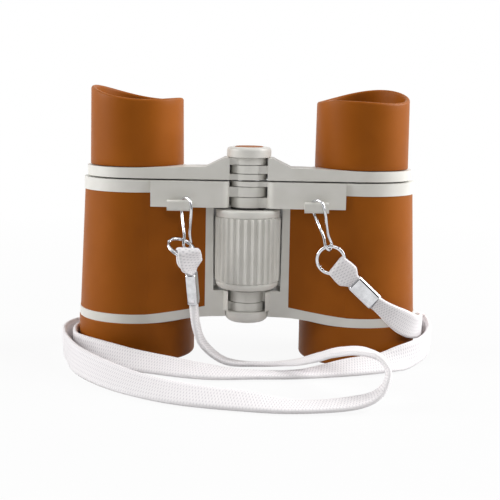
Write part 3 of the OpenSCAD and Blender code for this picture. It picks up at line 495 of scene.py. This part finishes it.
LEFT_LUG = np.array(joints["left_clip_swing"]["pos_m"])
RIGHT_LUG = np.array(joints["right_clip_swing"]["pos_m"])
LEFT_FERRULE_TOP = LEFT_LUG + np.array((4.2, -4, -20.4)) * MM
LEFT_FERRULE_FOOT = LEFT_LUG + np.array((4.95, -2.6, -30)) * MM
RIGHT_FERRULE_TOP = RIGHT_LUG + np.array((12.2, -0.3, -23)) * MM
RIGHT_FERRULE_FOOT = RIGHT_LUG + np.array((18.8, -0.8, -29.15)) * MM
LEFT_FERRULE_EDGE = (0.1, 1, 0)
RIGHT_FERRULE_EDGE = (0.6, 0, 0.8)
GATHERED_W = 4.6 * MM
GATHERED_T = 2.4 * MM
SPREAD_LENGTH = 13 * MM

STRAP_ROUTE = np.array([
    (-15.4, -21.7, 13.4), (-12.8, -21, 7.2), (-6, -21.2, 2.3), (4, -23, 2), (14, -26.4, 3.6),
    (21.2, -33.2, 7), (27.4, -39.5, 10.4), (33.4, -47, 12.6), (38.4, -53.6, 12.2), (40.2, -57.6, 8.8),
    (37.2, -60.8, 4.4), (30, -63, 2.1), (15, -65, 1.4), (1, -64.2, 2.4), (-18, -59.4, 2.8),
    (-35, -48.6, 3.2), (-49.6, -32, 3.9), (-57, -15, 4.2), (-59.8, -3, 4.2), (-59.9, 5, 4.1),
    (-58.4, 11, 4.1), (-56, 13.7, 4.2), (-54, 12.8, 4.3), (-54.9, 9, 4.3), (-56.6, 3, 4.3),
    (-56.3, -4.5, 4.3), (-53.2, -13.2, 4.2), (-40.4, -23.8, 3.7), (-27, -28.8, 2.9), (-12, -33.6, 2.2),
    (2, -32.4, 1.25), (17, -30.8, 1.2), (32, -27, 2.6), (43.8, -22, 3.1), (52.2, -15.8, 4.2),
    (57.7, -8.6, 5.3), (60.2, -1.8, 6.8), (59.9, 3.2, 8.4), (58.2, 5.2, 9.4), (57, 3, 10),
    (56.8, -3.6, 11), (52.8, -12.8, 12.8), (46.6, -18.4, 17),
]) * MM
STRAP_EDGES = np.array([
    (0.1, 1, 0), (0.05, 1, 0), (0, 1, -0.1), (0, 1, -0.25), (0, 1, -0.2),
    (0, 1, -0.1), (0, 1, -0.1), (0, 1, -0.1), (0, 1, -0.1), (0.1, 1, -0.1),
    (0.1, 1, 0), (0, 1, 0.1), (0, 1, 0.1), (0, 0.9, 0.4), (0, 0.85, 0.5),
    (0, 0.8, 0.6), (0, 0.6, 0.8), (0, 0.1, 1), (-0.1, 0, 1), (-0.25, 0.05, 1),
    (-0.15, 0.1, 1), (0, 0, 1), (0, 0, 1), (0, 0, 1), (0, 0, 1),
    (0, 0, 1), (0, 0.15, 1), (0, 0.62, 0.78), (0, 0.85, 0.53), (0, 0.95, 0.3),
    (0, 1, 0), (0, 1, 0), (0, 0.92, 0.4), (0, 0.8, 0.5), (0, 0.3, 0.9),
    (0, 0.1, 1), (0, 0, 1), (0, 0, 1), (0, 0, 1), (0, 0, 1),
    (0.05, 0, 1), (0.25, -0.1, 0.9), (0.5, 0, 0.85),
])
# Points at which the strap is divided, counted from the left ferrule
LEFT_SPLIT = 6
RIGHT_SPLIT = 36
# Steps of the smooth curve between each two points of the route
CURVE_STEPS = 24


def make_strap():
    """The strap's three pieces by name, each with its path and length."""
    route = np.vstack([LEFT_FERRULE_FOOT, STRAP_ROUTE, RIGHT_FERRULE_FOOT])
    edges = np.vstack([LEFT_FERRULE_EDGE, STRAP_EDGES, RIGHT_FERRULE_EDGE])
    path = smooth(route, CURVE_STEPS)
    turn = smooth(edges, CURVE_STEPS)
    along = lengths(path)
    places = np.linspace(0, along[-1], round(along[-1] / RING_SPACING) + 1)
    path_at = even(path, along, places)
    edge_at = even(turn, along, places)
    spread = ease(np.minimum(places, along[-1] - places) / SPREAD_LENGTH)
    widths = GATHERED_W + (TAPE_W - GATHERED_W) * spread
    thicknesses = GATHERED_T + (TAPE_T - GATHERED_T) * spread
    first = np.searchsorted(places, along[LEFT_SPLIT * CURVE_STEPS])
    second = np.searchsorted(places, along[RIGHT_SPLIT * CURVE_STEPS])
    pieces = {}
    for name, start, end in (("strap_left", 0, first), ("strap_middle", first, second),
                             ("strap_right", second, len(places) - 1)):
        part = slice(start, end + 1)
        piece = tape_piece(
            name, path_at[part], edge_at[part], widths[part], thicknesses[part], places[start],
        )
        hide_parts("strap")
        pieces[name] = (piece, path_at[part], places[end] - places[start])
    return pieces


strap = make_strap()
left_tape, left_path, left_length = strap["strap_left"]
middle_tape, middle_path, middle_length = strap["strap_middle"]
right_tape, right_path, right_length = strap["strap_right"]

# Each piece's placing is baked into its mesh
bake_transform(left_tape)
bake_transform(middle_tape)
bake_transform(right_tape)

# CLIPS: each end of the tape is folded over a split ring and gathered into its ferrule

LOOP_T = 1.1 * MM
LOOP_W = 7.8 * MM
CREST_W = 7.3 * MM
CREST_RISE = 1.2 * MM
# Half the distance between the loop's two layers: in the ferrule, round the ring, and at the fold
LAYER_GAPS = np.array((0.58, 1.08, 0.95)) * MM
# Shares of the loop's height: where its layers part and are widest apart
PARTING_SHARES = (0.35, 0.75)
# Shares of the loop's height: where it starts to widen and to narrow, and over what share it does
WIDEN_SHARE = 0.33
NARROW_SHARE = 0.7
WIDTH_CHANGE_SHARE = 0.3
LOOP_STEPS = 12
FOLD_STEPS = 11


def tape_loop(name, top, foot, edge, crest, crest_edge, body, node):
    """Tape that rises out of the ferrule, folds over the ring's wire and comes down behind."""
    gap_in, gap_round, gap_fold = LAYER_GAPS
    rising = unit(crest - top)
    fold = crest + rising * (CREST_RISE - gap_fold - LOOP_T / 2)
    middle = smooth(np.vstack([(top + foot) / 2, top, (top + fold) / 2, fold]), LOOP_STEPS)
    t = np.linspace(0, 1, len(middle))
    turned = ease(t)[:, None]
    edges = unit(np.array(edge, float)) * (1 - turned) + unit(np.array(crest_edge, float)) * turned
    run = unit(np.gradient(middle, axis=0))
    face = unit(np.cross(run, edges))
    apart = np.interp(ease(t), (0, *PARTING_SHARES, 1), (gap_in, gap_in, gap_round, gap_fold))
    bend = np.linspace(0, np.pi, FOLD_STEPS + 2)[1:-1]
    over = fold + (face[-1] * np.cos(bend)[:, None] + run[-1] * np.sin(bend)[:, None]) * apart[-1]
    path = np.vstack([middle + face * apart[:, None], over, (middle - face * apart[:, None])[::-1]])
    turn = np.vstack([edges, np.repeat(edges[-1:], len(over), axis=0), edges[::-1]])
    widening = ease((t - WIDEN_SHARE) / WIDTH_CHANGE_SHARE)
    narrowing = ease((t - NARROW_SHARE) / WIDTH_CHANGE_SHARE)
    wide = GATHERED_W + (LOOP_W - GATHERED_W) * widening - (LOOP_W - CREST_W) * narrowing
    widths = np.concatenate([wide, np.full(len(over), wide[-1]), wide[::-1]])[:, None]
    along = lengths(path)
    places = np.linspace(0, along[-1], round(along[-1] / RING_SPACING) + 1)
    piece = tape_piece(
        name, even(path, along, places), even(turn, along, places),
        even(widths, along, places)[:, 0], np.full(len(places), LOOP_T),
    )
    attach(piece, body)
    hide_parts(node)
    return piece


RING_R = 4.3 * MM
WIRE_D = 1 * MM
RING_TURNS = 2
RING_STEPS = 64
RING_SIDES = 10
# The wire's height, a little under half its width, and the share of a turn over which it crosses
WIRE_H = WIRE_D / 2.1
CROSSING_SHARE = 0.12
# A direction that no ring's axis has
ASKEW = (0.3, 0.5, 0.8)


def split_ring(name, centre, axis, body, node):
    """Two turns of flattened wire that lie on each other."""
    axis = unit(np.array(axis, float))
    first = unit(np.cross(axis, ASKEW))
    second = np.cross(axis, first)
    t = np.linspace(0, RING_TURNS, RING_TURNS * RING_STEPS + 1)
    lift = np.clip((t - 1) / CROSSING_SHARE, -1, 1) * WIRE_D / 4
    round_angle = 2 * np.pi * t[:, None]
    out = first * np.cos(round_angle) + second * np.sin(round_angle)
    place = centre + out * RING_R + axis * lift[:, None]
    angle = np.arange(RING_SIDES)[:, None] * 2 * np.pi / RING_SIDES
    wide = WIRE_D / 2 * np.cos(angle)
    high = WIRE_H / 2 * np.sin(angle)
    rings = place[:, None, :] + out[:, None, :] * wide + axis * high
    piece = mesh_piece(name, rings.reshape(-1, 3), skin_faces(len(t), RING_SIDES), "chrome_wire")
    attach(piece, body)
    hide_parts(node)
    return piece


LEFT_RING = LEFT_LUG + np.array((1.2, -3.5, -12.7)) * MM
LEFT_RING_AXIS = (0.4, -0.42, 0.82)
LEFT_CREST = LEFT_LUG + np.array((3.4, -5.9, -13.5)) * MM
LEFT_CREST_EDGE = (0.92, 0.38, -0.1)
RIGHT_RING = RIGHT_LUG + np.array((4.8, 0.1, -16.2)) * MM
RIGHT_RING_AXIS = (0.15, 1, 0.05)
RIGHT_CREST = RIGHT_LUG + np.array((7, 0.05, -18.25)) * MM
RIGHT_CREST_EDGE = (0.6, 0, 0.8)

left_ring = split_ring(
    "split_ring_left", LEFT_RING, LEFT_RING_AXIS, "left_clip", "left_split_ring",
)
right_ring = split_ring(
    "split_ring_right", RIGHT_RING, RIGHT_RING_AXIS, "right_clip", "right_split_ring",
)
left_loop = tape_loop(
    "strap_loop_left", LEFT_FERRULE_TOP, LEFT_FERRULE_FOOT, LEFT_FERRULE_EDGE,
    LEFT_CREST, LEFT_CREST_EDGE, "left_clip", "left_strap_loop",
)
right_loop = tape_loop(
    "strap_loop_right", RIGHT_FERRULE_TOP, RIGHT_FERRULE_FOOT, RIGHT_FERRULE_EDGE,
    RIGHT_CREST, RIGHT_CREST_EDGE, "right_clip", "right_strap_loop",
)

# STAGE: a white floor that keeps the shadow, a white surround and soft lights

FLOOR_SIZE = 6
FLOOR_COLOUR = (0.6, 0.6, 0.6, 1)
# The floor's own white, near the object and beyond the reach of its shadow
FLOOR_GLOW = (0.93, 1.0)
GLOW_REACH = (0.1, 0.4)


def white_where_seen(tree):
    """1 for rays from the camera, and for those by which metal and glass mirror the background."""
    light_path = tree.nodes.new("ShaderNodeLightPath")
    total = None
    for ray in ("Is Camera Ray", "Is Glossy Ray", "Is Transmission Ray"):
        if total is None:
            total = light_path.outputs[ray]
            continue
        larger = tree.nodes.new("ShaderNodeMath")
        larger.operation = "MAXIMUM"
        tree.links.new(total, larger.inputs[0])
        tree.links.new(light_path.outputs[ray], larger.inputs[1])
        total = larger.outputs[0]
    return total


def make_floor():
    bpy.ops.mesh.primitive_plane_add(size=FLOOR_SIZE)
    floor = bpy.context.object
    floor.name = "floor"
    material = bpy.data.materials.new("floor")
    material.use_nodes = True
    tree = material.node_tree
    tree.nodes.clear()
    output = tree.nodes.new("ShaderNodeOutputMaterial")
    matte = tree.nodes.new("ShaderNodeBsdfDiffuse")
    matte.inputs["Color"].default_value = FLOOR_COLOUR
    glow = tree.nodes.new("ShaderNodeEmission")
    place = tree.nodes.new("ShaderNodeTexCoord")
    away = tree.nodes.new("ShaderNodeVectorMath")
    away.operation = "LENGTH"
    fade = tree.nodes.new("ShaderNodeMapRange")
    fade.inputs["From Min"].default_value, fade.inputs["From Max"].default_value = GLOW_REACH
    fade.inputs["To Min"].default_value, fade.inputs["To Max"].default_value = FLOOR_GLOW
    share = tree.nodes.new("ShaderNodeMath")
    share.operation = "MULTIPLY"
    mix = tree.nodes.new("ShaderNodeMixShader")
    tree.links.new(place.outputs["Object"], away.inputs[0])
    tree.links.new(away.outputs["Value"], fade.inputs["Value"])
    tree.links.new(white_where_seen(tree), share.inputs[0])
    tree.links.new(fade.outputs["Result"], share.inputs[1])
    tree.links.new(share.outputs[0], mix.inputs["Fac"])
    tree.links.new(matte.outputs[0], mix.inputs[1])
    tree.links.new(glow.outputs[0], mix.inputs[2])
    tree.links.new(mix.outputs[0], output.inputs["Surface"])
    floor.data.materials.append(material)


WORLD_LIGHT = 0.13


def make_world():
    world = bpy.data.worlds.new("surround")
    bpy.context.scene.world = world
    world.use_nodes = True
    tree = world.node_tree
    tree.nodes.clear()
    output = tree.nodes.new("ShaderNodeOutputWorld")
    light = tree.nodes.new("ShaderNodeBackground")
    light.inputs["Strength"].default_value = WORLD_LIGHT
    light.inputs["Color"].default_value = (1, 1, 1, 1)
    seen = tree.nodes.new("ShaderNodeBackground")
    seen.inputs["Color"].default_value = (1, 1, 1, 1)
    mix = tree.nodes.new("ShaderNodeMixShader")
    tree.links.new(white_where_seen(tree), mix.inputs["Fac"])
    tree.links.new(light.outputs[0], mix.inputs[1])
    tree.links.new(seen.outputs[0], mix.inputs[2])
    tree.links.new(mix.outputs[0], output.inputs["Surface"])


LAMP_AIM = Vector((0, -0.01, 0.045))
# Place, size and power of each lamp: a strong one at the right, one at the left, a faint one in front
LAMPS = {
    "right_box": ((0.62, 0.06, 0.44), 0.5, 7.8),
    "left_box": ((-0.64, -0.08, 0.36), 0.5, 4.8),
    "key": ((0.08, -0.42, 0.36), 0.2, 0.36),
}


def make_lamp(name, place, size, power):
    lamp = bpy.data.objects.new(name, bpy.data.lights.new(name, "AREA"))
    lamp.data.size = size
    lamp.data.energy = power
    lamp.location = place
    lamp.rotation_euler = (LAMP_AIM - lamp.location).to_track_quat("-Z", "Y").to_euler()
    lamp.visible_camera = False
    bpy.context.scene.collection.objects.link(lamp)


FLAG_SIZE = 1.5
FLAG_PLACE = (0.02, -0.78, 0.2)
FLAG_COLOUR = (0.02, 0.02, 0.02, 1)


def make_flag():
    """The dark side of the studio behind the camera, which only glossy surfaces mirror."""
    upright = (math.pi / 2, 0, 0)
    bpy.ops.mesh.primitive_plane_add(size=FLAG_SIZE, location=FLAG_PLACE, rotation=upright)
    flag = bpy.context.object
    flag.name = "flag"
    material = bpy.data.materials.new("flag")
    material.use_nodes = True
    material.node_tree.nodes["Principled BSDF"].inputs["Base Color"].default_value = FLAG_COLOUR
    flag.data.materials.append(material)
    flag.visible_camera = False
    flag.visible_diffuse = False
    flag.visible_shadow = False


make_floor()
make_world()
make_flag()
for name, (place, size, power) in LAMPS.items():
    make_lamp(name, place, size, power)
bpy.context.scene.view_settings.view_transform = "Standard"
